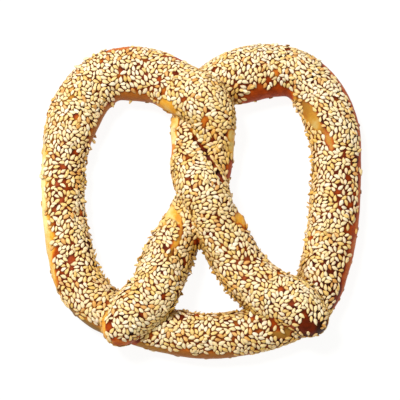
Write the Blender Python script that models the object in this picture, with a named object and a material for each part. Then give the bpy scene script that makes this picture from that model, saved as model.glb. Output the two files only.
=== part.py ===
"""A simit: one rope of dough knotted like a pretzel, baked on a tray, with sesame seeds on top."""

import math
import random

import bmesh
import bpy
from mathutils import Matrix, Vector

for leftover in list(bpy.data.objects):
    bpy.data.objects.remove(leftover)

MM = 0.001

# How finely the rope is laid out before its strands are fused, and what is left afterwards.
RING_POINTS = 28
RING_STEP = 1.5 * MM
GRAIN = 0.8 * MM
SOFTEN_FACTOR = 0.5
SOFTEN_ROUNDS = 4
DOUGH_TRIANGLES = 3000

# The baked rope is wider than it is thick. Each ring sits partly below the tray and is pressed flat.
LEAST_THICKNESS = 9 * MM
THICKNESS_SHARE = 0.3
RING_MIDDLE = 0.44
RING_HEIGHT = 1.12
END_ANGLES = (20, 40, 60, 78)
PRESSED_WITHIN = 0.02 * MM

# The rope from end to end, in millimetres: x, y, how far it is lifted off the tray, and its width.
ROPE = (
    # first end, on top of the lower right bend
    (45.2, -55.4, 8, 17.4),
    (39.1, -49.6, 8, 21.6),
    # right leg
    (26.9, -43.3, 5, 22.3),
    (16.6, -32, 1.5, 22.2),
    (8.5, -17.6, 3.5, 21.5),
    # over the lower crossing and up the left of the twist
    (3.8, -6.7, 7, 20),
    (0, 2, 7, 22.8),
    (-3.7, 11, 4.5, 20),
    (-5, 21.5, 2, 17),
    (-5.2, 31.5, 0, 17.6),
    # under the upper crossing
    (-2, 41.5, 0, 18.5),
    (7, 49.8, 0, 22.2),
    # right arch and right side
    (19, 54.2, 0, 25.8),
    (32, 56.4, 0, 24.2),
    (43.5, 54, 0, 22.1),
    (52.1, 44.8, 0, 23.3),
    (57.9, 30.4, 0, 23.8),
    (59.5, 16, 0, 21.9),
    (58.5, 0, 0, 22.5),
    (57, -15.5, 0, 22.2),
    (53.7, -30.6, 0, 21.8),
    # under the first end and along the bottom
    (49.3, -43.6, 0, 20.6),
    (40, -53.8, 0, 19.2),
    (21.5, -60, 0, 19.6),
    (2.5, -62.2, 0, 19.8),
    (-16, -59.6, 0, 19.7),
    (-31.3, -55.1, 0, 19.5),
    # left side and left arch
    (-44, -48.9, 0, 20.3),
    (-52.7, -38.7, 0, 20.7),
    (-57.2, -24.5, 0, 20.1),
    (-59.8, -11, 0, 19),
    (-60.8, 3.5, 0, 19.2),
    (-60.3, 18, 0, 20),
    (-57.1, 32.6, 0, 23.7),
    (-50.9, 45.1, 0, 24),
    (-41.3, 53.6, 0, 23.8),
    (-30, 55, 0, 25.4),
    (-18, 52, 2, 24),
    # over the upper crossing and down the right of the twist
    (-8.8, 45.7, 6, 23.8),
    (0, 40.5, 8, 23.5),
    (4.7, 33, 7, 20.9),
    (6, 22, 3, 17),
    (5, 11.5, 0.5, 17),
    # under the lower crossing
    (0.4, 0.5, 0, 18.9),
    (-5.2, -9.7, 0, 19.8),
    # left leg
    (-11.2, -21.2, 1, 21.1),
    (-15.9, -32.3, 4, 21.9),
    (-20.4, -44.3, 7.5, 21.4),
    # second end, on top of the lower left bend
    (-28.2, -52.5, 8, 21.6),
    (-34.1, -59.2, 8, 17),
)

# Sesame seeds: flat teardrops half sunk in the crust, spread evenly over the top and sides.
SEED_LENGTH = 3.1 * MM
SEED_WIDTH = 1.9 * MM
SEED_SIZES = (0.92, 1.08)
SEED_OUTLINE = ((-0.5, 0), (-0.12, -0.43), (0.28, -0.42), (0.5, 0), (0.28, 0.42), (-0.12, 0.43))
SEED_LAYERS = ((-0.5 * MM, 0.95), (0.4 * MM, 0.68))  # height above the crust, share of the outline
SEED_SPACING = 6.6 * MM
SEED_COUNT = 270
TRIES_FOR_EACH_SEED = 60
STEEPEST_SEEDED = -0.1  # upward part of the crust's normal
BARE_BELOW = 5.5 * MM
DRAW = 11

CRUST_COLOUR = (0.62, 0.36, 0.13, 1)
CRUST_ROUGHNESS = 0.55
SHARP_ANGLE = math.radians(50)


def smooth_route(stations):
    """Points along a smooth curve through the stations, as x, y, lift and width in metres."""
    rows = [Vector(station) * MM for station in stations]
    rows = [rows[0] * 2 - rows[1], *rows, rows[-1] * 2 - rows[-2]]
    route = []
    for before, start, end, after in zip(rows, rows[1:], rows[2:], rows[3:]):
        steps = max(2, round((end - start).length / RING_STEP))
        for step in range(steps):
            t = step / steps
            bend = (before * 2 - start * 5 + end * 4 - after) * t * t
            twist = (start * 3 - before - end * 3 + after) * t**3
            route.append((start * 2 + (end - before) * t + bend + twist) / 2)
    route.append(rows[-2])
    return route


def rope_rings(route):
    """The middle, forward direction, width and height of each ring, with the two ends rounded off."""
    middles = []
    for row in route:
        thick = LEAST_THICKNESS + THICKNESS_SHARE * row.w
        middle = Vector((row.x, row.y, row.z + RING_MIDDLE * thick))
        middles.append((middle, row.w, RING_HEIGHT * thick))
    rings = []
    for i, (middle, width, height) in enumerate(middles):
        ahead = middles[min(i + 1, len(middles) - 1)][0]
        behind = middles[max(i - 1, 0)][0]
        rings.append((middle, (ahead - behind).normalized(), width, height))

    def cap(ring, way):
        middle, forward, width, height = ring
        found = []
        for degrees in END_ANGLES:
            angle = math.radians(degrees)
            reach = forward * (way * width / 2 * math.sin(angle))
            found.append((middle + reach, forward, width * math.cos(angle), height * math.cos(angle)))
        return found

    return cap(rings[0], -1)[::-1] + rings + cap(rings[-1], 1)


def rope_mesh(rings):
    body = bmesh.new()
    loops = []
    for middle, forward, width, height in rings:
        side = forward.cross(Vector((0, 0, 1))).normalized()
        rise = side.cross(forward)
        loop = []
        for k in range(RING_POINTS):
            angle = 2 * math.pi * k / RING_POINTS
            across = side * (width / 2 * math.cos(angle))
            loop.append(body.verts.new(middle + across + rise * (height / 2 * math.sin(angle))))
        loops.append(loop)
    for first, second in zip(loops, loops[1:]):
        for k in range(RING_POINTS):
            after = (k + 1) % RING_POINTS
            body.faces.new((first[k], first[after], second[after], second[k]))
    body.faces.new(loops[0][::-1])
    body.faces.new(loops[-1])
    bmesh.ops.recalc_face_normals(body, faces=body.faces)
    mesh = bpy.data.meshes.new("rope")
    body.to_mesh(mesh)
    body.free()
    return mesh


def apply_modifiers(obj):
    graph = bpy.context.evaluated_depsgraph_get()
    mesh = bpy.data.meshes.new_from_object(obj.evaluated_get(graph))
    obj.modifiers.clear()
    obj.data = mesh


def flatten_underside(obj):
    """What would lie below the tray is pressed flat on it."""
    for vertex in obj.data.vertices:
        if vertex.co.z < PRESSED_WITHIN:
            vertex.co.z = 0


def fused_dough():
    """The rope's strands fused where they touch, with a flat underside."""
    obj = bpy.data.objects.new("simit", rope_mesh(rope_rings(smooth_route(ROPE))))
    bpy.context.scene.collection.objects.link(obj)
    fuse = obj.modifiers.new("fuse", "REMESH")
    fuse.mode = "VOXEL"
    fuse.voxel_size = GRAIN
    soften = obj.modifiers.new("soften", "SMOOTH")
    soften.factor = SOFTEN_FACTOR
    soften.iterations = SOFTEN_ROUNDS
    apply_modifiers(obj)
    flatten_underside(obj)
    obj.data.calc_loop_triangles()
    thin = obj.modifiers.new("thin", "DECIMATE")
    thin.ratio = DOUGH_TRIANGLES / len(obj.data.loop_triangles)
    apply_modifiers(obj)
    flatten_underside(obj)
    return obj


def exposed_places(obj, draw):
    """Places and normals over the top and sides, no closer together than the seeds' spacing."""
    mesh = obj.data
    mesh.calc_loop_triangles()
    triangles = []
    weights = []
    for triangle in mesh.loop_triangles:
        if triangle.normal.z > STEEPEST_SEEDED:
            triangles.append(triangle)
            weights.append(triangle.area)
    places = []
    for triangle in draw.choices(triangles, weights, k=SEED_COUNT * TRIES_FOR_EACH_SEED):
        a, b, c = (mesh.vertices[index].co for index in triangle.vertices)
        s, t = sorted((draw.random(), draw.random()))
        place = a * s + b * (t - s) + c * (1 - t)
        near = any((place - other).length < SEED_SPACING for other, _ in places)
        if place.z > BARE_BELOW and not near:
            places.append((place, triangle.normal.copy()))
        if len(places) == SEED_COUNT:
            break
    return places


def seed_object(place, normal, draw):
    """A flat teardrop, turned at random, half sunk in the crust."""
    turn = normal.to_track_quat("Z", "Y").to_matrix().to_4x4()
    turn = Matrix.Translation(place) @ turn @ Matrix.Rotation(draw.uniform(0, 2 * math.pi), 4, "Z")
    size = draw.uniform(*SEED_SIZES)
    body = bmesh.new()
    rings = []
    for height, share in SEED_LAYERS:
        ring = []
        for x, y in SEED_OUTLINE:
            point = Vector((x * SEED_LENGTH * size * share, y * SEED_WIDTH * size * share, height))
            ring.append(body.verts.new(turn @ point))
        rings.append(ring)
    for k in range(len(SEED_OUTLINE)):
        after = (k + 1) % len(SEED_OUTLINE)
        body.faces.new((rings[0][k], rings[0][after], rings[1][after], rings[1][k]))
    body.faces.new(rings[0][::-1])
    body.faces.new(rings[1])
    mesh = bpy.data.meshes.new("seed")
    body.to_mesh(mesh)
    body.free()
    return bpy.data.objects.new("seed", mesh)


def keep_outer_shell(obj):
    """Drops loose scraps and the walls of sealed hollows, so only the largest closed shell stays."""
    body = bmesh.new()
    body.from_mesh(obj.data)
    waiting = set(body.faces)
    shells = []
    while waiting:
        shell = [waiting.pop()]
        for face in shell:
            for edge in face.edges:
                for other in edge.link_faces:
                    if other in waiting:
                        waiting.remove(other)
                        shell.append(other)
        shells.append(shell)
    shells.sort(key=len)
    for shell in shells[:-1]:
        bmesh.ops.delete(body, geom=shell, context="FACES")
    body.to_mesh(obj.data)
    body.free()


def centre_on_origin(obj):
    """Moves the mesh so that the middle of its plan is at the origin and its underside at zero."""
    corners = [Vector(corner) for corner in obj.bound_box]
    middle = (corners[0] + corners[6]) / 2
    obj.data.transform(Matrix.Translation((-middle.x, -middle.y, -corners[0].z)))


draw = random.Random(DRAW)
simit = fused_dough()
seeds = bpy.data.collections.new("seeds")
bpy.context.scene.collection.children.link(seeds)
for place, normal in exposed_places(simit, draw):
    seeds.objects.link(seed_object(place, normal, draw))

join = simit.modifiers.new("join", "BOOLEAN")
join.operation = "UNION"
join.operand_type = "COLLECTION"
join.collection = seeds
apply_modifiers(simit)
for seed in list(seeds.objects):
    bpy.data.objects.remove(seed)
bpy.data.collections.remove(seeds)
keep_outer_shell(simit)
centre_on_origin(simit)

crust = bpy.data.materials.new("baked crust")
crust.use_nodes = True
shader = crust.node_tree.nodes["Principled BSDF"]
shader.inputs["Base Color"].default_value = CRUST_COLOUR
shader.inputs["Roughness"].default_value = CRUST_ROUGHNESS
simit.data.materials.clear()
simit.data.materials.append(crust)
simit.data.shade_smooth()
simit.data.set_sharp_from_angle(angle=SHARP_ANGLE)
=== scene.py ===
import math

import bmesh
import bpy
import numpy as np
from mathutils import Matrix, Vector, noise
from mathutils.bvhtree import BVHTree
from mathutils.kdtree import KDTree


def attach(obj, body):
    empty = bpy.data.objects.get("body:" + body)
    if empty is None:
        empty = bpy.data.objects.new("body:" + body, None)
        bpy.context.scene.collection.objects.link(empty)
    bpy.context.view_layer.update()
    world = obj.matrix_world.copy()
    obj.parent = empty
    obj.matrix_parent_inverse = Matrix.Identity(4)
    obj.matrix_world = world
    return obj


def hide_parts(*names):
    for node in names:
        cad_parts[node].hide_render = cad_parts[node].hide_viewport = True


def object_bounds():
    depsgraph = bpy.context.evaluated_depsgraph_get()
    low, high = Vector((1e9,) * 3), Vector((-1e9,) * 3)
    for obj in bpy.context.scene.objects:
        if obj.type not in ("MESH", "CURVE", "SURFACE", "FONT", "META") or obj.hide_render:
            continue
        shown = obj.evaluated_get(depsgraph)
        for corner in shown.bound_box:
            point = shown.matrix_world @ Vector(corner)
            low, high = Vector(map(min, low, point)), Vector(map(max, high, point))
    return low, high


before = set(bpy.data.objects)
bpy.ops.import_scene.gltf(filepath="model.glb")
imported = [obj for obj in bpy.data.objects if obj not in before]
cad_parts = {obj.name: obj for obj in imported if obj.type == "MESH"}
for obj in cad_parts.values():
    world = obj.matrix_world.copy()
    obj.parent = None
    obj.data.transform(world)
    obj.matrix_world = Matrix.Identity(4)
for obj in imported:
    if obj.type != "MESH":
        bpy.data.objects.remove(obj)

cad_low, cad_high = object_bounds()
MM = 0.001


# ---------------------------------------------------------------- the baked rope of dough
# One rope of enriched dough, dipped in molasses water, crossed over itself twice and pressed
# together, then baked flat on a tray. Its strands are fused where they touch. The crust is
# red-brown where the heat reached it and golden in the folds and on the sheltered sides, with
# painted shade in the browned folds, the groove and between the seeds.

# The route of the rope: x, y, lift off the tray and width, in millimetres, end to end.
ROPE = (
    # first end, on top of the lower right bend
    (45.2, -55.4, 8, 17.4),
    (39.1, -49.6, 8, 21.6),
    # right leg
    (26.9, -43.3, 5, 22.3),
    (16.6, -32, 1.5, 22.2),
    (8.5, -17.6, 3.5, 21.5),
    # over the lower crossing and up the left of the twist
    (3.8, -6.7, 7, 20),
    (0, 2, 7, 22.8),
    (-3.7, 11, 4.5, 20),
    (-5, 21.5, 2, 17),
    (-5.2, 31.5, 0, 17.6),
    # under the upper crossing
    (-2, 41.5, 0, 18.5),
    (7, 49.8, 0, 22.2),
    # right arch and right side
    (19, 54.2, 0, 25.8),
    (32, 56.4, 0, 24.2),
    (43.5, 54, 0, 22.1),
    (52.1, 44.8, 0, 23.3),
    (57.9, 30.4, 0, 23.8),
    (59.5, 16, 0, 21.9),
    (58.5, 0, 0, 22.5),
    (57, -15.5, 0, 22.2),
    (53.7, -30.6, 0, 21.8),
    # under the first end and along the bottom
    (49.3, -43.6, 0, 20.6),
    (40, -53.8, 0, 19.2),
    (21.5, -60, 0, 19.6),
    (2.5, -62.2, 0, 19.8),
    (-16, -59.6, 0, 19.7),
    (-31.3, -55.1, 0, 19.5),
    # left side and left arch
    (-44, -48.9, 0, 20.3),
    (-52.7, -38.7, 0, 20.7),
    (-57.2, -24.5, 0, 20.1),
    (-59.8, -11, 0, 19),
    (-60.8, 3.5, 0, 19.2),
    (-60.3, 18, 0, 20),
    (-57.1, 32.6, 0, 23.7),
    (-50.9, 45.1, 0, 24),
    (-41.3, 53.6, 0, 23.8),
    (-30, 55, 0, 25.4),
    (-18, 52, 2, 24),
    # over the upper crossing and down the right of the twist
    (-8.8, 45.7, 6, 23.8),
    (0, 40.5, 8, 23.5),
    (4.7, 33, 7, 20.9),
    (6, 22, 3, 17),
    (5, 11.5, 0.5, 17),
    # under the lower crossing
    (0.4, 0.5, 0, 18.9),
    (-5.2, -9.7, 0, 19.8),
    # left leg
    (-11.2, -21.2, 1, 21.1),
    (-15.9, -32.3, 4, 21.9),
    (-20.4, -44.3, 7.5, 21.4),
    # second end, on top of the lower left bend
    (-28.2, -52.5, 8, 21.6),
    (-34.1, -59.2, 8, 17),
)
SEED_COAT = 0.6 * MM  # how much of the width is seeds
ROPE_STEP = 1.0 * MM
ROPE_POINTS = 36
CAP_ANGLES = (15, 30, 45, 60, 72, 82)
DOUGH_GRAIN = 0.72 * MM

# The dough rises to 9 mm and three tenths of its width. Its tube reaches deeper than the tray,
# which flattens it, so the tube is taller than the dough and its middle lies below the dough's.
LEAST_HEIGHT = 9 * MM
HEIGHT_PER_WIDTH = 0.3
TUBE_HEIGHT = 1.12
TUBE_MIDDLE = 0.44


def smooth_route(stations):
    """Points along a smooth curve through the stations, as x, y, lift and width in metres."""
    rows = np.array(stations) * MM
    rows[:, 3] -= SEED_COAT
    rows = np.vstack([2 * rows[0] - rows[1], rows, 2 * rows[-1] - rows[-2]])
    route = []
    for before, start, end, after in zip(rows, rows[1:], rows[2:], rows[3:]):
        steps = max(2, round(float(np.linalg.norm(end - start)) / ROPE_STEP))
        for t in np.arange(steps) / steps:
            bend = (2 * before - 5 * start + 4 * end - after) * t**2
            twist = (3 * start - before - 3 * end + after) * t**3
            route.append((2 * start + (end - before) * t + bend + twist) / 2)
    return np.array(route + [rows[-2]])


def rope_body(route):
    """A closed tube along the route, rounded off at both ends."""
    height = LEAST_HEIGHT + HEIGHT_PER_WIDTH * route[:, 3]
    middle = np.column_stack([route[:, 0], route[:, 1], route[:, 2] + TUBE_MIDDLE * height])
    forward = np.gradient(middle, axis=0)
    forward /= np.linalg.norm(forward, axis=1)[:, None]
    rings = list(zip(middle, forward, route[:, 3], TUBE_HEIGHT * height))
    caps = []
    for ring, way in ((rings[0], -1), (rings[-1], 1)):
        at, ahead, wide, high = ring
        cap = []
        for angle in np.radians(CAP_ANGLES):
            reach = ahead * way * 0.5 * wide * math.sin(angle)
            cap.append((at + reach, ahead, wide * math.cos(angle), high * math.cos(angle)))
        caps.append(cap)
    turn = np.linspace(0, 2 * np.pi, ROPE_POINTS, endpoint=False)
    body = bmesh.new()
    loops = []
    for at, ahead, wide, high in [*caps[0][::-1], *rings, *caps[1]]:
        side = np.cross(ahead, (0, 0, 1))
        side /= np.linalg.norm(side)
        rise = np.cross(side, ahead)
        across = np.outer(np.cos(turn) * wide / 2, side)
        upright = np.outer(np.sin(turn) * high / 2, rise)
        loops.append([body.verts.new(point) for point in at + across + upright])
    for first, second in zip(loops, loops[1:]):
        for k in range(ROPE_POINTS):
            after = (k + 1) % ROPE_POINTS
            body.faces.new((first[k], first[after], second[after], second[k]))
    body.faces.new(loops[0][::-1])
    body.faces.new(loops[-1])
    bmesh.ops.recalc_face_normals(body, faces=body.faces)
    mesh = bpy.data.meshes.new("rope")
    body.to_mesh(mesh)
    body.free()
    return mesh


def settled(obj):
    """Replaces the object's mesh by what its modifiers make of it."""
    graph = bpy.context.evaluated_depsgraph_get()
    mesh = bpy.data.meshes.new_from_object(obj.evaluated_get(graph))
    obj.modifiers.clear()
    obj.data = mesh


def read(collection, name, width):
    """One property of all the mesh's points or triangles, a row for each."""
    values = np.zeros(len(collection) * width, np.float32)
    collection.foreach_get(name, values)
    return values.reshape(-1, width).astype(float)


dough = bpy.data.objects.new("baked_dough", rope_body(smooth_route(ROPE)))
bpy.context.scene.collection.objects.link(dough)
fuse = dough.modifiers.new("fuse", "REMESH")
fuse.mode = "VOXEL"
fuse.voxel_size = DOUGH_GRAIN
soften = dough.modifiers.new("soften", "SMOOTH")
soften.factor = 0.5
soften.iterations = 8
settled(dough)

# The route is centred on the middle of the part.
points = read(dough.data.vertices, "co", 3)
low, high = points.min(axis=0), points.max(axis=0)
cad_middle = (np.array(cad_low) + np.array(cad_high)) / 2
centring = cad_middle[:2] - (low[:2] + high[:2]) / 2
points[:, :2] += centring
normals = read(dough.data.vertices, "normal", 3)


def soft_step(start, end, value):
    """Eases from 0 to 1 as the value goes from start to end, which may be the smaller."""
    t = np.clip((value - start) / (end - start), 0, 1)
    return t * t * (3 - 2 * t)


def unevenness(places, size, seed):
    """Smooth noise about zero at each place, with lumps of about the given size."""
    shift = Vector((seed * 17.3, seed * 5.1, seed * 9.7))
    return np.array([noise.noise(Vector(place) / size + shift) for place in places])


# How the oven and the dip marked the crust, and where painted shade dims it: middle and reach of
# each mark in millimetres, the way it faces and how squarely, then from 0 to 1 its browning, how
# much painted shade dims it and how bare of seeds.
MARKS = (
    # pale outer side of the left limb
    ((-69, -2, 8), (14, 36, 12), (-1, 0, 0.05), 0.5, 0.18, 0, 0.35),
    ((-69, -6, 8), (12, 30, 11), (-1, 0, 0.05), 0.72, 0.0, 0, 0.88),
    ((-66, 38, 8), (14, 24, 11), (-1, 0.3, 0), 0.76, 0.1, 0, 0.4),
    ((-62, 40, 14), (10, 24, 12), (-1, 0.3, 0.5), 0.5, 0.22, 0, 0),
    ((-61, -26, 6), (13, 21, 10), (-1, -0.3, 0), 0.7, 0.14, 0.1, 0.88),
    # tan outer side of the lower left bend, darkened with painted shade
    ((-48, -54, 5), (15, 14, 8), (-0.7, -0.7, 0), 0.76, 0.3, 1, 0.92),
    # golden-brown inner side of the left limb, dimmed with painted shade
    ((-45, 34, 8), (7, 18, 9), (1, -0.3, 0), 0.82, 0.48, 0.6, 0.95),
    # shining red-brown outer side of the right limb, wider on the shoulder
    ((69, 2, 8), (12, 44, 12), (1, 0, 0.05), 0.8, 0.52, 0, 0.92),
    ((61, 47, 8), (16, 22, 10), (1, 0.5, 0), 0.7, 0.55, 0, 0.95),
    ((63, -34, 8), (12, 22, 10), (1, -0.3, 0), 0.7, 0.5, 0, 0.94),
    # redder crust along the top of both limbs
    ((-62.2, 2, 15), (4.2, 21, 9), None, 0, 0.6, 0, 0.3),
    ((-56, -32, 15), (9, 16, 10), None, 0, 0.62, 0, 0.24),
    ((61, -4, 15), (7, 30, 9), None, 0, 0.68, 0, 0.32),
    # browner crust in the middle of both arches
    ((18, 52.5, 16), (12, 8, 9), None, 0, 0.62, 0.05, 0.3),
    ((-24, 52.5, 16), (10, 7, 9), None, 0, 0.6, 0.05, 0.26),
    # red-brown walls under both arches, the left one dimmed with painted shade
    ((28, 47, 7), (17, 9, 8), (0, -1, 0), 0.5, 0.66, 0, 1.0),
    ((-28, 46, 7), (17, 9, 8), (0, -1, 0), 0.66, 0.5, 0.5, 1.0),
    # golden and orange sides of the twist, and the small bump under it
    ((-16.4, 39.4, 8), (5.6, 4, 10), None, 0, 0.22, 0, 1.0),
    ((-13.5, 26, 8), (4, 15, 9), (-1, 0, 0), 0.68, 0.02, 0.06, 0.66),
    ((-13, 20.5, 8), (4, 4.5, 9), (-1, 0, 0), 0.66, 0.36, 0, 0.95),
    ((13, 25, 9), (4, 8, 9), (1, 0, 0), 0.36, 0.08, 0.08, 0.95),
    ((12.5, 12.6, 8), (4, 3.9, 9), (1, 0, 0), 0.6, 0.58, 0, 0.95),
    ((13.5, 1, 8), (4.5, 9, 9), (1, 0, 0), 0.58, 0.34, 0, 0.9),
    ((-17, -8, 10), (7, 8, 10), (-0.8, 0.5, 0.1), 0.56, 0.12, 0, 0.66),
    ((-12.5, -8.6, 15), (6, 5, 9), None, 0, 0.08, 0.05, 0.4),
    ((16.8, -10.4, 11), (5.5, 4.5, 12), (0.8, 0.5, 0.2), 0.1, 0.2, 0, 1.0),
    # browner crust below the lower crossing, down the right leg and in the middle of the bottom arc
    ((6.6, -13.3, 16), (7, 9, 9), None, 0, 0.64, 0.1, 0.3),
    ((21, -35, 16), (12, 11, 9), None, 0, 0.6, 0.1, 0.3),
    ((2, -61, 16), (16, 8, 9), None, 0, 0.5, 0.2, 0.14),
    # orange folds where the arches cross
    ((-6, 53, 16), (6, 2.5, 9), None, 0, 0.42, 0, 0.3),
    ((7, 52, 14), (5, 3, 9), None, 0, 0.4, 0, 0.3),
    # burnt tip of the first end, and the redder crust above and beside it
    ((50, -61.5, 6), (10, 6, 11), None, 0, 0.93, 0, 0.56),
    ((36.5, -56, 18), (13, 6, 9), None, 0, 0.64, 0, 0.36),
    ((49.5, -56, 16), (8, 4.5, 8), None, 0, 0.87, 0, 0.25),
    ((46.5, -57.5, 20), (9, 5.5, 8), None, 0, 0.86, 0, 0),
    ((55.4, -40, 14), (6.2, 13, 9), None, 0, 0.84, 0, 0.24),
    # bare tan hollow beside it, darkened with painted shade
    ((33.4, -60.4, 10), (6.6, 2.7, 9), None, 0, 0.34, 0.9, 0.95),
    # red-brown spot on the corner of the second end
    ((-38.8, -57.8, 17), (2.8, 2.2, 9), None, 0, 0.66, 0, 0.75),
    # outer side of the bottom arc, dimmed with painted shade
    ((-2, -70, 6), (28, 9, 8), (0, -1, 0), 0.7, 0.5, 0.6, 0.9),
    ((-26, -65, 6), (16, 9, 8), (0, -1, 0), 0.74, 0.32, 0.7, 0.8),
    # blistered strip on top of the left arch
    ((-36, 67, 10), (10, 3, 6), (0, 1, 0.3), 0.78, 0.46, 0, 0.7),
    ((-10, 61, 11), (5, 4, 6), (0.3, 1, 0), 0.7, 0.6, 0, 0.8),
    # small bald spots on the upper crossing
    ((1, 30.4, 21), (1.9, 1.9, 5), None, 0, 0.46, 0.15, 1.0),
    ((4, 33.8, 21), (1.5, 1.2, 5), None, 0, 0.5, 0, 0.9),
)

# Streaks where the crust stretched and split, seen from above: how bare each is, then its points as
# x, y and half width in millimetres, browning and painted shade.
STREAKS = (
    # inside the right limb, darkened with painted shade at its upper end and golden below
    (0.9, ((44.2, 42.6, 1.0, 0.44, 0.8), (46, 39.8, 1.8, 0.36, 0.8), (48, 36, 2.5, 0.24, 0.6),
            (49.6, 32, 2.4, 0.12, 0.5), (52.4, 29.2, 1.4, 0.3, 0.55), (54.2, 26.4, 0.8, 0.34, 0.5),
            (55.4, 23.6, 1.2, 0.3, 0.55), (56.6, 20.4, 0.7, 0.3, 0.4))),
    # golden fold where the left arch meets the twist
    (1.0, ((-17.4, 41.2, 1.6, 0.24, 0), (-14.4, 38.8, 2.9, 0.2, 0), (-12.4, 35.4, 2.3, 0.18, 0),
           (-11.4, 31, 1.3, 0.08, 0))),
    # down the left leg
    (0.95, ((-13.4, -3.5, 1.2, 0.14, 0), (-11.8, -7.5, 1.8, 0.12, 0), (-8.9, -12.2, 0.9, 0.34, 0.1),
            (-8.8, -17.6, 1.1, 0.24, 0.45), (-10.9, -22.6, 1.4, 0.2, 0.4),
            (-13.2, -26.7, 1.0, 0.2, 0.4), (-14.6, -30, 0.5, 0.24, 0.3))),
    # burnt lower edge of the first end
    (0.52, ((38.6, -60, 1.2, 0.8, 0), (45.2, -60.4, 2.8, 0.94, 0), (50.8, -59.4, 3.6, 1, 0),
            (54.4, -55.6, 2.2, 0.9, 0))),
    # golden corner of the second end, and the redder lip below it
    (0.95, ((-40, -51.4, 1.1, 0.2, 0), (-41.4, -55, 1.1, 0.24, 0), (-41.8, -60, 1.6, 0.2, 0),
            (-40.6, -64.2, 2.0, 0.22, 0), (-37.6, -66.6, 1.6, 0.3, 0))),
    (0.9, ((-36.8, -65.2, 1.2, 0.42, 0.1), (-31.5, -64.4, 1.5, 0.58, 0), (-27, -63, 1.3, 0.78, 0))),
)


def nearest_on(places, line):
    """How far each place is from a line, seen from above, and the nearest spot and its values."""
    line = np.array(line) * np.array([MM, MM, MM] + [1] * (len(line[0]) - 3))
    gap = np.full(len(places), np.inf)
    spot = np.zeros((len(places), line.shape[1]))
    for start, end in zip(line, line[1:]):
        run = end - start
        share = np.clip(((places[:, :2] - start[:2]) @ run[:2]) / (run[:2] @ run[:2]), 0, 1)
        passed = start + share[:, None] * run
        far = np.linalg.norm(places[:, :2] - passed[:, :2], axis=1)
        closer = far < gap
        gap[closer] = far[closer]
        spot[closer] = passed[closer]
    return gap, spot[:, :2], spot[:, 2:].T


WANDER_GRAIN = 4 * MM
MARK_WANDER = 2.2 * MM
STREAK_WANDER = 0.7 * MM


def marked(places, facings):
    """The crust's browning, painted shade and bareness at each place."""
    up, height = facings[:, 2], places[:, 2]
    # Browner on top, and towards the right partly as painted shade away from the lamp on the left,
    # in patches of two sizes, with painted shade underneath.
    browning = 0.38 + 0.24 * facings[:, 0] + 0.24 * soft_step(0.1, 0.9, up)
    mottled = 0.14 + 0.36 * soft_step(-0.8, -0.3, up)
    browning += 0.24 * unevenness(places, 13 * MM, 1) + mottled * unevenness(places, 3.5 * MM, 13)
    dull = 0.35 * soft_step(0.5, -0.2, up)
    # The foot lay on the tray, where no seed held.
    bare = soft_step(5 * MM, 2 * MM, height)
    wander = np.column_stack([unevenness(places, WANDER_GRAIN, seed) for seed in (4, 5, 6)])
    streaked = places + STREAK_WANDER * wander
    places = places + MARK_WANDER * wander
    for middle, reach, way, squarely, level, painted_shade_level, bald in MARKS:
        offset = (places - np.array(middle) * MM) / (np.array(reach) * MM)
        share = soft_step(1.0, 0.72, np.linalg.norm(offset, axis=1))
        if way:
            way = np.array(way) / np.linalg.norm(way)
            share = share * soft_step(squarely - 0.06, squarely + 0.1, facings @ way)
        browning += (level - browning) * share
        dull += (painted_shade_level - dull) * share
        bare = np.maximum(bare, bald * share)
    for bald, line in STREAKS:
        gap, _, (reach, level, painted_shade_level) = nearest_on(streaked, line)
        share = soft_step(1.0, 0.7, gap / reach) * soft_step(0.0, 0.2, up)
        browning += (level + 0.16 * wander[:, 0] - browning) * share
        dull += (painted_shade_level - dull) * share
        bare = np.maximum(bare, bald * share)
    # Walls that turn under keep some seeds, and the lowest edge stayed golden.
    undercut = soft_step(0.05, -0.15, up) * soft_step(1.5 * MM, 3 * MM, height)
    bare -= undercut * np.maximum(bare - 0.6, 0)
    pressed = soft_step(2.5 * MM, 0.5 * MM, height) * soft_step(-0.9, -0.5, up)
    browning += (0.3 - browning) * 0.8 * pressed
    return browning, dull, bare


# The groove between the two strands of the twist, from its upper end down: x, y and half width in
# millimetres, browning, partly real and partly painted shade, and painted shade.
GROOVE = (
    (-5, 28.4, 0.9, 0.5, 0.2),
    (-1.8, 23.6, 1.4, 0.8, 0.75),
    (1.4, 17.8, 1.5, 0.8, 0.9),
    (4, 13.6, 1.4, 0.7, 0.85),
    (6.8, 8.6, 1.3, 0.62, 0.6),
    (8.8, 4.8, 0.9, 0.5, 0.2),
)
GROOVE_DEPTH = 2.6 * MM
FOLD_DEPTH = 0.9 * MM
FOLD_BROWNING = 0.5
LUMP_HEIGHT, LUMP_SIZE = 0.22 * MM, 9 * MM
PIMPLE_HEIGHT, PIMPLE_SIZE = 0.1 * MM, 2.6 * MM

# The small bump below the twist: its middle and, from there, where it starts to fall and ends.
BUMP_MIDDLE = (16.4, -10.8, 10)
BUMP_TOP, BUMP_FOOT = 1.5, 5.5
BUMP_HEIGHT = 1.2 * MM

# Folds, where the surface lies deeper than the same surface smoothed out, except at the foot.
smooth_dough = dough.copy()
smooth_dough.data = dough.data.copy()
bpy.context.scene.collection.objects.link(smooth_dough)
iron = smooth_dough.modifiers.new("iron", "SMOOTH")
iron.factor = 0.5
iron.iterations = 50
settled(smooth_dough)
ironed = read(smooth_dough.data.vertices, "co", 3)
bpy.data.objects.remove(smooth_dough)
ironed[:, :2] += centring
fold = soft_step(0.3 * MM, 0.8 * MM, ((ironed - points) * normals).sum(axis=1))
fold *= soft_step(2 * MM, 5 * MM, points[:, 2])

browning, dull, bare = marked(points, normals)
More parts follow.
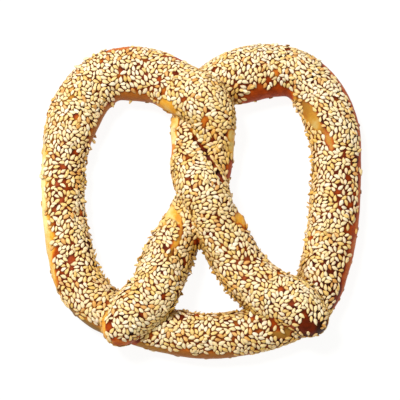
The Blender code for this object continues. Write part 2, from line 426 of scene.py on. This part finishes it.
# Browned folds go darker still, partly real crust colour and partly painted shade in the crease.
fold_browning_and_shade = fold * soft_step(0.15, 0.4, browning)
browning += (FOLD_BROWNING - browning) * 0.5 * fold_browning_and_shade
gap, _, (reach, level, shade) = nearest_on(points, GROOVE)
groove = soft_step(1.05, 0.35, gap / reach) * soft_step(0.1, 0.4, normals[:, 2])
browning += (level - browning) * groove
shade *= groove
# No seed lies in the groove, and few lie in the folds.
bare = np.maximum(bare, np.maximum(0.85 * fold, groove))

relief = LUMP_HEIGHT * unevenness(points, LUMP_SIZE, 2)
relief += PIMPLE_HEIGHT * unevenness(points, PIMPLE_SIZE, 3)
relief -= FOLD_DEPTH * fold + GROOVE_DEPTH * groove
from_bump = np.linalg.norm((points - np.array(BUMP_MIDDLE) * MM) / MM, axis=1)
relief += BUMP_HEIGHT * soft_step(BUMP_FOOT, BUMP_TOP, from_bump)
points += normals * relief[:, None]
# The tray keeps the underside flat.
points[:, 2] = np.maximum(points[:, 2], 0)
dough.data.vertices.foreach_set("co", points.astype(np.float32).ravel())
dough.data.update()
dough.data.shade_smooth()


def paint_on(mesh, name, values):
    """Stores one number for each point of the mesh, for its material to read."""
    layer = mesh.attributes.new(name, "FLOAT", "POINT")
    layer.data.foreach_set("value", np.asarray(values, np.float32))


paint_on(dough.data, "browning", browning)
paint_on(dough.data, "dull", dull)


class Socket:
    """A shader value or colour. Arithmetic adds Math nodes, and node() adds any node."""

    def __init__(self, tree, output=None):
        self.tree = tree
        self.output = output

    def node(self, kind, settings=None, inputs=None, output=0):
        made = self.tree.nodes.new(kind)
        for name, value in (settings or {}).items():
            if name == "stops":
                ramp = made.color_ramp
                while len(ramp.elements) < len(value):
                    ramp.elements.new(0.5)
                for element, (place, colour) in zip(ramp.elements, value):
                    element.position = place
                    element.color = colour
            else:
                setattr(made, name, value)
        for name, value in (inputs or {}).items():
            if isinstance(value, Socket):
                self.tree.links.new(value.output, made.inputs[name])
            else:
                made.inputs[name].default_value = value
        return Socket(self.tree, made.outputs[output])

    def painted(self, name):
        """The numbers that paint_on stored under the name."""
        return self.node("ShaderNodeAttribute", {"attribute_name": name}, output="Fac")

    def mix(self, first, second, blend="MIX"):
        """The first colour where this value is 0, and the second blended in where it is 1."""
        settings = {"data_type": "RGBA", "blend_type": blend}
        return self.node("ShaderNodeMix", settings, {0: self, 6: first, 7: second}, 2)

    def feed(self, shader, name):
        """Plugs this into one of the shader's own sockets."""
        self.tree.links.new(self.output, shader.inputs[name])

    def math(self, operation, *values):
        return self.node("ShaderNodeMath", {"operation": operation}, dict(enumerate(values)))

    def __add__(self, other):
        return self.math("ADD", self, other)

    def __sub__(self, other):
        return self.math("SUBTRACT", self, other)

    def __mul__(self, other):
        return self.math("MULTIPLY", self, other)


def colour(red, green, blue):
    """A colour as it looks on a screen, from 0 to 255, as linear light."""
    share = [value / 255 for value in (red, green, blue)]
    return (*[v / 12.92 if v <= 0.04045 else ((v + 0.055) / 1.055) ** 2.4 for v in share], 1)


def new_material(name):
    """A material and its shader."""
    material = bpy.data.materials.new(name)
    material.use_nodes = True
    return material, material.node_tree.nodes["Principled BSDF"]


crust, shader = new_material("baked crust")
paint = Socket(crust.node_tree)
where = paint.node("ShaderNodeTexCoord", output="Object")
grain = paint.node("ShaderNodeTexNoise", inputs={"Vector": where, "Scale": 260, "Detail": 4})
mottle = paint.node("ShaderNodeTexNoise", inputs={"Vector": where, "Scale": 900, "Detail": 3})
level = paint.painted("browning") + (grain - 0.5) * 0.35 + (mottle - 0.5) * 0.12
# From dough that stayed pale, through golden and red-brown, to burnt.
crust_colour = paint.node(
    "ShaderNodeValToRGB",
    {
        "stops": (
            (0.0, colour(240, 226, 154)),
            (0.2, colour(234, 168, 52)),
            (0.4, colour(206, 112, 30)),
            (0.6, colour(172, 68, 10)),
            (0.8, colour(114, 35, 5)),
            (1.0, colour(54, 18, 3)),
        )
    },
    {"Fac": level},
)
# Painted shade: the crust dims towards a dull khaki where the marks, the streaks and the underside
# call for it.
crust_colour = paint.painted("dull").mix(crust_colour, colour(148, 106, 42))
# Painted shade: the crust darkens between close seeds, in the browned folds and in the groove.
gap_shade_here = paint.painted("sheltered")
(gap_shade_here * 0.85).mix(crust_colour, colour(104, 60, 8), "MULTIPLY").feed(shader, "Base Color")
skin = grain * 0.6 + mottle * 0.4
(gap_shade_here * 0.2 + skin * 0.2 + 0.36).feed(shader, "Roughness")
pores = {"Strength": 0.5, "Distance": 0.5 * MM, "Height": skin}
paint.node("ShaderNodeBump", inputs=pores).feed(shader, "Normal")
shader.inputs["Specular IOR Level"].default_value = 0.1
dough.data.materials.append(crust)
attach(dough, "root")
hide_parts("simit")


# ---------------------------------------------------------------- sesame seeds
# Hulled sesame seeds: flat little teardrops that stick to the molasses as the dough is rolled in
# them. They lie close together in one layer, pushed apart by each other, with a few on top.

SEED_LENGTH = 3.15 * MM
SEED_WIDTH = 1.82 * MM
SEED_THICKNESS = 0.8 * MM
SEED_GROUND = 3.97 * MM**2  # the ground that each seed takes
SOWN_FACING = -0.35  # the underside, which faces lower than this, gets no seeds
KEPT_FACING = -0.5
draw = np.random.default_rng(5)


def search_tree(places):
    """Finds the places near a spot, by their numbers."""
    tree = KDTree(len(places))
    for index, point in enumerate(places):
        tree.insert(point, index)
    tree.balance()
    return tree


dough.data.calc_loop_triangles()
corners = read(dough.data.loop_triangles, "vertices", 3).astype(int)
dough_surface = BVHTree.FromPolygons([tuple(p) for p in points], corners.tolist())
dough_tree = search_tree(points)

triangles = points[corners]
middles = triangles.mean(axis=1)
sides = triangles[:, 1:] - triangles[:, :1]
areas = np.linalg.norm(np.cross(sides[:, 0], sides[:, 1]), axis=1) / 2
facings = normals[corners].mean(axis=1)
facings /= np.linalg.norm(facings, axis=1)[:, None]
cover = 1 - bare[corners].mean(axis=1)
cover = np.where(facings[:, 2] < SOWN_FACING, 0, cover)
chance = areas * cover * (1 + 0.2 * unevenness(middles, 7 * MM, 9))
seed_count = int(chance.sum() / SEED_GROUND)
steps = (np.arange(seed_count) + draw.uniform(size=seed_count)) / seed_count
chosen = np.searchsorted(np.cumsum(chance) / chance.sum(), steps)
place = middles[chosen]
facing = facings[chosen]
drift = np.column_stack([unevenness(place, 15 * MM, seed) for seed in (10, 11, 12)])
turn = draw.normal(size=place.shape) + 4 * drift


def flat_on(direction, facing):
    """The direction laid flat in the surface, one unit long."""
    flat = direction - facing * (direction * facing).sum(axis=1)[:, None]
    return flat / np.linalg.norm(flat, axis=1)[:, None]


def near_pairs(place, reach):
    """The numbers of every two places that lie within reach of each other."""
    tree = search_tree(place)
    pairs = [(i, j) for i, p in enumerate(place) for _, j, _ in tree.find_range(p, reach) if j > i]
    return np.array(pairs)


# Each seed pushes its neighbours with two discs, one round its blunt end and one near its tip.
# The discs start larger, so that the seeds spread over the bare patches, and end at their size.
# The groove and the barest streaks push them off too, so that hardly a seed lies across.
DISCS = ((0.42 * MM, 0.78 * MM), (-0.82 * MM, 0.52 * MM))
CLEAR_LINES = [GROOVE] + [line for bald, line in STREAKS if bald > 0.92]
PUSH_ROUNDS = 54
SPREAD_ROUNDS = 36
SPREAD_START, SPREAD_FALL = 1.45, 0.45
NEIGHBOUR_REACH = 4.2 * MM
NEIGHBOUR_ROUNDS = 6  # between two searches for neighbours
PUSH_SHARE = 0.3  # of an overlap in one round
LONGEST_PUSH = 0.5 * MM
SWING_ARM = 0.9 * MM
SWING_SHARE = 0.5
LINE_SHARE, DISC_SHARE = 0.7, 0.8  # a seed may lie over a line's edge a little
TINY = 1e-9
axis = flat_on(turn, facing)
size = draw.uniform(0.82, 1.12, seed_count)
for push_round in range(PUSH_ROUNDS):
    if push_round % NEIGHBOUR_ROUNDS == 0:
        pairs = near_pairs(place, NEIGHBOUR_REACH)
    spread = max(1.0, SPREAD_START - SPREAD_FALL * push_round / SPREAD_ROUNDS)
    shift = np.zeros_like(place)
    swing = np.zeros_like(place)
    for offset_a, radius_a in DISCS:
        for offset_b, radius_b in DISCS:
            a, b = pairs.T
            gap = place[a] + axis[a] * (offset_a * size[a])[:, None]
            gap = gap - place[b] - axis[b] * (offset_b * size[b])[:, None]
            distance = np.linalg.norm(gap, axis=1) + TINY
            overlap = spread * (radius_a * size[a] + radius_b * size[b]) - distance
            push = gap * (np.maximum(overlap, 0) / distance * PUSH_SHARE)[:, None]
            np.add.at(shift, a, push)
            np.add.at(shift, b, -push)
            np.add.at(swing, a, push * np.sign(offset_a))
            np.add.at(swing, b, -push * np.sign(offset_b))
    for line in CLEAR_LINES:
        for offset, radius in DISCS:
            disc = place + axis * (offset * size)[:, None]
            gap, spot, (reach, _, _) = nearest_on(disc, line)
            overlap = LINE_SHARE * reach + DISC_SHARE * radius * size - gap
            overlap = np.maximum(overlap, 0) * (facing[:, 2] > 0)
            push = np.zeros_like(place)
            push[:, :2] = (disc[:, :2] - spot) * (overlap / (gap + TINY) * PUSH_SHARE)[:, None]
            shift += push
            swing += push * np.sign(offset)
    place = place + np.clip(shift, -LONGEST_PUSH, LONGEST_PUSH)
    found = [dough_surface.find_nearest(p) for p in place]
    place = np.array([hit[0] for hit in found])
    facing = np.array([hit[1] for hit in found])
    axis = flat_on(axis + swing / SWING_ARM * SWING_SHARE, facing)

# Some fell off where the crust is bare, and a few elsewhere.
LOST_SHARE = 0.02
RUBBED_OFF = 1.05
beneath = [dough_tree.find(p)[1] for p in place]
facing = normals[beneath]
rubbed = unevenness(place, 3.5 * MM, 7) + 0.35 * unevenness(place, 14 * MM, 8)
kept = bare[beneath] < draw.uniform(0.3, 0.95, seed_count)
kept &= (facing[:, 2] > KEPT_FACING) & (rubbed < RUBBED_OFF)
kept &= draw.uniform(size=seed_count) > LOST_SHARE
place, facing, size = place[kept], facing[kept], size[kept]
axis = flat_on(axis[kept], facing)
seed_count = len(place)

# Seeds that still overlap climb on each other.
TOUCHING = 2.2 * MM
CROWDED = 1.85 * MM
MOST_CROWDED = 1.4
REST_LIFT = 0.12 * MM
CLIMB = 0.34 * MM
a, b = near_pairs(place, TOUCHING).T
crowding = np.zeros(seed_count)
order = draw.uniform(size=seed_count)
closeness = np.maximum(CROWDED - np.linalg.norm(place[a] - place[b], axis=1), 0) / MM
upper = np.where(order[a] > order[b], a, b)
np.add.at(crowding, upper, closeness)
lift = REST_LIFT + np.minimum(crowding, MOST_CROWDED) * CLIMB
tilt = draw.normal(0, 0.12, seed_count)
tilt += np.minimum(crowding, 1) * draw.normal(0, 0.22, seed_count)
roll = draw.normal(0, 0.18, seed_count)

# Seeds lie flatter round the outer rim and on the twist, and some stand off the other steep walls.
RIM_RADIUS = 52 * MM
TWIST_HALF = 17 * MM
STEEP_FACING = 0.5
PROUD_SHARE = 0.3
radius = np.hypot(place[:, 0], place[:, 1])
outside = (place[:, :2] * facing[:, :2]).sum(axis=1) / radius
twisted = (np.abs(place[:, 0]) < TWIST_HALF) & (place[:, 1] > 0)
rim_side = (radius > RIM_RADIUS) & (outside > 0.3)
tilt *= np.where(rim_side | twisted, 0.45, 1)
lift *= np.where(rim_side, 0.4, 1)
steep = (facing[:, 2] < STEEP_FACING) & ~rim_side & ~twisted
proud = steep & (draw.uniform(size=seed_count) < PROUD_SHARE)
tilt += proud * draw.uniform(0.35, 0.9, seed_count) * np.sign(tilt)
lift += proud * draw.uniform(0.2, 0.45, seed_count) * MM

# A few more lie loose on the layer, each a little beside a seed on top.
LOOSE_SHARE = 0.06
LOOSE_SHIFT = 1.4 * MM
TOP_FACING = 0.4
on_top = np.flatnonzero(facing[:, 2] > TOP_FACING)
loose = draw.choice(on_top, int(seed_count * LOOSE_SHARE), replace=False)
beside = flat_on(draw.normal(size=(len(loose), 3)), facing[loose])
place = np.vstack([place, place[loose] + beside * LOOSE_SHIFT])
facing = np.vstack([facing, facing[loose]])
axis = np.vstack([axis, flat_on(draw.normal(size=(len(loose), 3)), facing[loose])])
size = np.concatenate([size, draw.uniform(0.88, 1.05, len(loose))])
proud = np.concatenate([proud, np.zeros(len(loose), bool)])
lift = np.concatenate([lift, draw.uniform(0.5, 0.75, len(loose)) * MM])
tilt = np.concatenate([tilt, draw.normal(0, 0.3, len(loose))])
roll = np.concatenate([roll, draw.normal(0, 0.3, len(loose))])
seed_count = len(place)
# On the highest dough they lie lower.
lift *= 1 - 0.6 * soft_step(19 * MM, 23 * MM, place[:, 2])

# Painted shade on the crust: it darkens where seeds lie close round it, in the browned folds and in
# the groove.
SHADE_REACH = 2.7 * MM
seed_tree = search_tree(place)
nearest = [seed_tree.find_n(p, 4) for p in points]
near_seeds = np.array([sum(max(0, 1 - far / SHADE_REACH) for _, _, far in four) for four in nearest])
sheltered = np.maximum(0.5 * fold_browning_and_shade, shade)
sheltered = np.maximum(sheltered, soft_step(0.5, 1.5, near_seeds))
paint_on(dough.data, "sheltered", sheltered)

# Painted shade on seeds in the hollows. A hollow is where the dough hides much of the open space
# round a seed, looked at along a fan of directions.
FAN_TILTS = (0.6, 1.1)
FAN = [(math.cos(a) * math.sin(t), math.sin(a) * math.sin(t), math.cos(t))
       for t in FAN_TILTS for a in np.arange(8) * math.pi / 4]
FAN_REACH = 16 * MM
FAN_HEIGHT = 1.2 * MM
side = np.cross(facing, axis)
hidden = np.zeros(seed_count)
for index in range(seed_count):
    start = Vector(place[index] + facing[index] * FAN_HEIGHT)
    for a, b, c in FAN:
        ray = Vector(axis[index] * a + side[index] * b + facing[index] * c)
        hidden[index] += dough_surface.ray_cast(start, ray, FAN_REACH)[0] is not None
hidden = soft_step(0.08, 0.5, hidden / len(FAN))

# Seeds on the sides and on the places that stayed soft are golden, partly from a real stain and
# partly from painted warm shade, and those on top of the arches hardly at all.
STAINS_AND_SHADES = (
    # middle and reach of each place in millimetres, how strongly it is stained and given painted
    # warm shade, and how much more painted shade its seeds get than their hollow gives them
    ((6, 20), (7, 13), 0.6, 0),
    ((12, 26), (5, 12), 0.3, -0.8),
    ((-9.5, 33), (5, 7), 0.6, 0),
    ((-14.9, -9), (9, 8), 0.5, 0),
    ((-1.5, -16), (4.5, 4), 0.2, -0.4),
    ((-5, -22), (4.5, 7), 0, 0.4),
    ((-8.5, -35), (4.5, 10), 0, 0.3),
    ((-44.5, -35), (5, 13), 0.6, 0),
    ((48.6, 21.7), (5, 16), 0.4, 0),
    ((34, 58), (24, 14), -0.4, 0),
    ((-34, 57), (22, 14), -0.25, 0),
)
stained = 0.1 + 0.75 * soft_step(0.8, 0.3, facing[:, 2]) + 0.5 * unevenness(place, 9 * MM, 14)
for middle, reach, strength, extra_shade in STAINS_AND_SHADES:
    near = soft_step(1.1, 0.6, np.linalg.norm((place[:, :2] / MM - middle) / reach, axis=1))
    stained += strength * near
    hidden += extra_shade * near
stained = np.clip(stained + draw.normal(0, 0.12, seed_count), 0, 1)
hidden = np.clip(hidden, 0, 1)

# A teardrop ring by ring, from its tip to its blunt end. Its section is a flat oval that is a
# little square, and each seed bows to one side or the other.
RINGS = 6
RING_POINTS = 8
along = (np.arange(RINGS) + 0.55) / RINGS
girth = np.sin(np.pi * along**1.36) ** 0.64
around = np.linspace(0, 2 * np.pi, RING_POINTS, endpoint=False)


def seed_points(place, facing, axis, size, lift, tilt, roll):
    """The points of every seed's mesh: tip, rings and blunt end."""
    side = np.cross(facing, axis)
    rise = facing * np.cos(tilt)[:, None] - axis * np.sin(tilt)[:, None]
    axis = axis * np.cos(tilt)[:, None] + facing * np.sin(tilt)[:, None]
    side, rise = (
        side * np.cos(roll)[:, None] + rise * np.sin(roll)[:, None],
        rise * np.cos(roll)[:, None] - side * np.sin(roll)[:, None],
    )
    long = SEED_LENGTH * size
    wide = SEED_WIDTH * size * draw.uniform(0.92, 1.08, len(size))
    deep = SEED_THICKNESS * size * draw.uniform(0.85, 1.1, len(size))
    bow = draw.normal(0, 0.07, len(size)) * wide
    centre = place + facing * lift[:, None]
    rows = [centre - axis * (long / 2)[:, None]]
    for u, g in zip(along, girth):
        bowed = side * (bow * math.sin(math.pi * u))[:, None]
        spine = centre + axis * (long * (u - 0.5))[:, None] + bowed
        for t in around:
            across = side * (0.5 * wide * g * math.cos(t))[:, None]
            thick = 0.5 * deep * g**0.8 * math.copysign(abs(math.sin(t)) ** 0.75, math.sin(t))
            rows.append(spine + across + rise * thick[:, None])
    rows.append(centre + axis * (long / 2)[:, None])
    return np.stack(rows, axis=1)


def seed_faces():
    """The faces of one seed, with each corner's place in its own unit square of the map."""
    faces = []
    end = 1 + RINGS * RING_POINTS
    for k in range(RING_POINTS):
        n = (k + 1) % RING_POINTS
        u0, u1 = k / RING_POINTS, (k + 1) / RING_POINTS
        faces.append(((0, 1 + n, 1 + k), ((0.0, (u0 + u1) / 2), (along[0], u1), (along[0], u0))))
        for r in range(RINGS - 1):
            base = 1 + r * RING_POINTS
            ring = (base + k, base + n, base + RING_POINTS + n, base + RING_POINTS + k)
            near, far = along[r], along[r + 1]
            faces.append((ring, ((near, u0), (near, u1), (far, u1), (far, u0))))
        base = 1 + (RINGS - 1) * RING_POINTS
        tail = ((along[-1], u0), (along[-1], u1), (1.0, (u0 + u1) / 2))
        faces.append(((base + k, base + n, end), tail))
    return faces


MAP_MARGIN, MAP_SHARE = 0.08, 0.84  # of the cell that each seed has in the map


def seed_piece(name, members, tones):
    """All the seeds of one kind as one mesh, each with its own cell of the map and its own tone."""
    lie = (place, facing, axis, size, lift, tilt, roll)
    shape = seed_points(*[values[members] for values in lie])
    count, per_seed = shape.shape[:2]
    pattern = seed_faces()
    mesh = bpy.data.meshes.new(name)
    faces = []
    spots = []
    cells = math.ceil(math.sqrt(count))
    for index in range(count):
        start = index * per_seed
        cell = np.array((index % cells, index // cells))
        for ring, spot in pattern:
            faces.append([start + corner for corner in ring])
            spots.append((cell + MAP_MARGIN + MAP_SHARE * np.array(spot)) / cells)
    mesh.from_pydata(shape.reshape(-1, 3).tolist(), [], faces)
    seed_map = mesh.uv_layers.new(name="OFBake")
    seed_map.data.foreach_set("uv", np.concatenate(spots).astype(np.float32).ravel())
    # Painted shade on a seed's lower half and both of its ends, partly also the dip's stain.
    share = np.concatenate([[0], np.repeat(along, RING_POINTS), [1]])
    edge = np.concatenate([[0.7], np.tile(np.clip(1 - 1.25 * np.sin(around), 0, 1), RINGS), [0.6]])
    paint_on(mesh, "tone", np.repeat(tones, per_seed))
    paint_on(mesh, "hidden", np.repeat(hidden[members], per_seed))
    paint_on(mesh, "stained", np.repeat(stained[members], per_seed))
    paint_on(mesh, "along", np.tile(share, count))
    paint_on(mesh, "rim", np.outer(1 - 0.6 * proud[members], edge).ravel())
    mesh.shade_smooth()
    obj = bpy.data.objects.new(name, mesh)
    bpy.context.scene.collection.objects.link(obj)
    return obj


SEED_KINDS = (
    # name, share, colour at rest, colour of the strongest tone, colour of the tip
    ("cream_seeds", 0.32, (249, 237, 213), (244, 228, 189), (218, 172, 90)),
    ("pale_seeds", 0.4, (246, 230, 191), (241, 219, 162), (212, 157, 66)),
    ("golden_seeds", 0.21, (242, 215, 150), (232, 196, 116), (198, 136, 50)),
    ("toasted_seeds", 0.07, (234, 188, 122), (216, 156, 82), (178, 104, 38)),
)
SIDE_STAIN_AND_SHADE = (234, 182, 64)
RIM_STAIN_AND_SHADE = (146, 76, 6)
HOLLOW_SHADE = (160, 112, 20)
kind_draw = draw.uniform(size=seed_count)
start = 0.0
for name, share, light, deep, tip in SEED_KINDS:
    members = np.flatnonzero((kind_draw >= start) & (kind_draw < start + share))
    start += share
    seeds = seed_piece(name, members, draw.uniform(size=len(members)))
    skin, shader = new_material(name.replace("_", " "))
    paint = Socket(skin.node_tree)
    seed_colour = paint.painted("tone").mix(colour(*light), colour(*deep))
    near_tip = paint.node(
        "ShaderNodeMapRange",
        {"interpolation_type": "SMOOTHSTEP"},
        {"Value": paint.painted("along"), "From Min": 0.3, "From Max": 0.0, "To Max": 0.8},
    )
    seed_colour = near_tip.mix(seed_colour, colour(*tip))
    # Golden seed tone, partly a real stain and partly painted warm shade on the sides.
    seed_colour = (paint.painted("stained") * 0.6).mix(seed_colour, colour(*SIDE_STAIN_AND_SHADE))
    # Painted shade on each seed's lower half and ends, partly also the dip's stain.
    seed_colour = (paint.painted("rim") * 0.85).mix(seed_colour, colour(*RIM_STAIN_AND_SHADE))
    # Painted shade on seeds in the hollows.
    seed_colour = (paint.painted("hidden") * 0.85).mix(seed_colour, colour(*HOLLOW_SHADE))
    seed_colour.feed(shader, "Base Color")
    where = paint.node("ShaderNodeTexCoord", output="Object")
    husk = paint.node("ShaderNodeTexNoise", inputs={"Vector": where, "Scale": 1800, "Detail": 2})
    uneven = {"Strength": 0.25, "Distance": 0.2 * MM, "Height": husk}
    paint.node("ShaderNodeBump", inputs=uneven).feed(shader, "Normal")
    shader.inputs["Roughness"].default_value = 0.42
    shader.inputs["Specular IOR Level"].default_value = 0.3
    shader.inputs["Subsurface Weight"].default_value = 0.12
    shader.inputs["Subsurface Radius"].default_value = (0.6, 0.4, 0.2)
    shader.inputs["Subsurface Scale"].default_value = 0.8 * MM
    seeds.data.materials.append(skin)
    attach(seeds, "root")


# ---------------------------------------------------------------- floor, light and camera
# A plain near-white table, a large soft lamp from the upper left, a weaker one from the right,
# and a camera that looks almost straight down, a little from the lower edge.

TABLE_HALF = 3.0
TABLE_GAP = 0.2 * MM
table_top = bpy.data.objects.new("table_top", bpy.data.meshes.new("table_top"))
square = [(x * TABLE_HALF, y * TABLE_HALF, 0) for x, y in ((-1, -1), (1, -1), (1, 1), (-1, 1))]
table_top.data.from_pydata(square, [], [(0, 1, 2, 3)])
bpy.context.scene.collection.objects.link(table_top)
white, shader = new_material("pale table")
shader.inputs["Base Color"].default_value = (0.1, 0.1, 0.1, 1)
shader.inputs["Roughness"].default_value = 0.9
shader.inputs["Emission Color"].default_value = (1, 1, 1, 1)
shader.inputs["Emission Strength"].default_value = 0.92
table_top.data.materials.append(white)
table_top.location.z = -TABLE_GAP

world = bpy.data.worlds.new("studio")
bpy.context.scene.world = world
world.use_nodes = True
sky = world.node_tree.nodes["Background"]
sky.inputs["Color"].default_value = (1, 0.94, 0.66, 1)
sky.inputs["Strength"].default_value = 0.36


def soft_lamp(name, azimuth, elevation, distance, across, power):
    lamp = bpy.data.lights.new(name, "AREA")
    lamp.shape = "DISK"
    lamp.size = across
    lamp.energy = power
    obj = bpy.data.objects.new(name, lamp)
    a, e = math.radians(azimuth), math.radians(elevation)
    away = Vector((math.sin(a) * math.cos(e), math.cos(a) * math.cos(e), math.sin(e)))
    obj.location = away * distance
    obj.rotation_euler = away.to_track_quat("Z", "Y").to_euler()
    bpy.context.scene.collection.objects.link(obj)


soft_lamp("key lamp", azimuth=-50, elevation=60, distance=1.2, across=0.4, power=15.9)
soft_lamp("fill lamp", azimuth=120, elevation=45, distance=1.4, across=0.9, power=2)

CAMERA_ELEVATION = 77
CAMERA_DISTANCE = 0.62
SEEN_WIDTH = 174.1 * MM
camera = bpy.data.cameras.new("camera")
camera.sensor_width = 36
camera.lens = camera.sensor_width * CAMERA_DISTANCE / SEEN_WIDTH
camera.clip_start = 0.05
view = bpy.data.objects.new("camera", camera)
rise = math.radians(CAMERA_ELEVATION)
back = Vector((0, -math.cos(rise), math.sin(rise)))
target = Vector((-0.0007, -0.001, 0.008))
view.location = target + back * CAMERA_DISTANCE
view.rotation_euler = back.to_track_quat("Z", "Y").to_euler()
bpy.context.scene.collection.objects.link(view)
bpy.context.scene.camera = view
bpy.context.scene.view_settings.view_transform = "Standard"
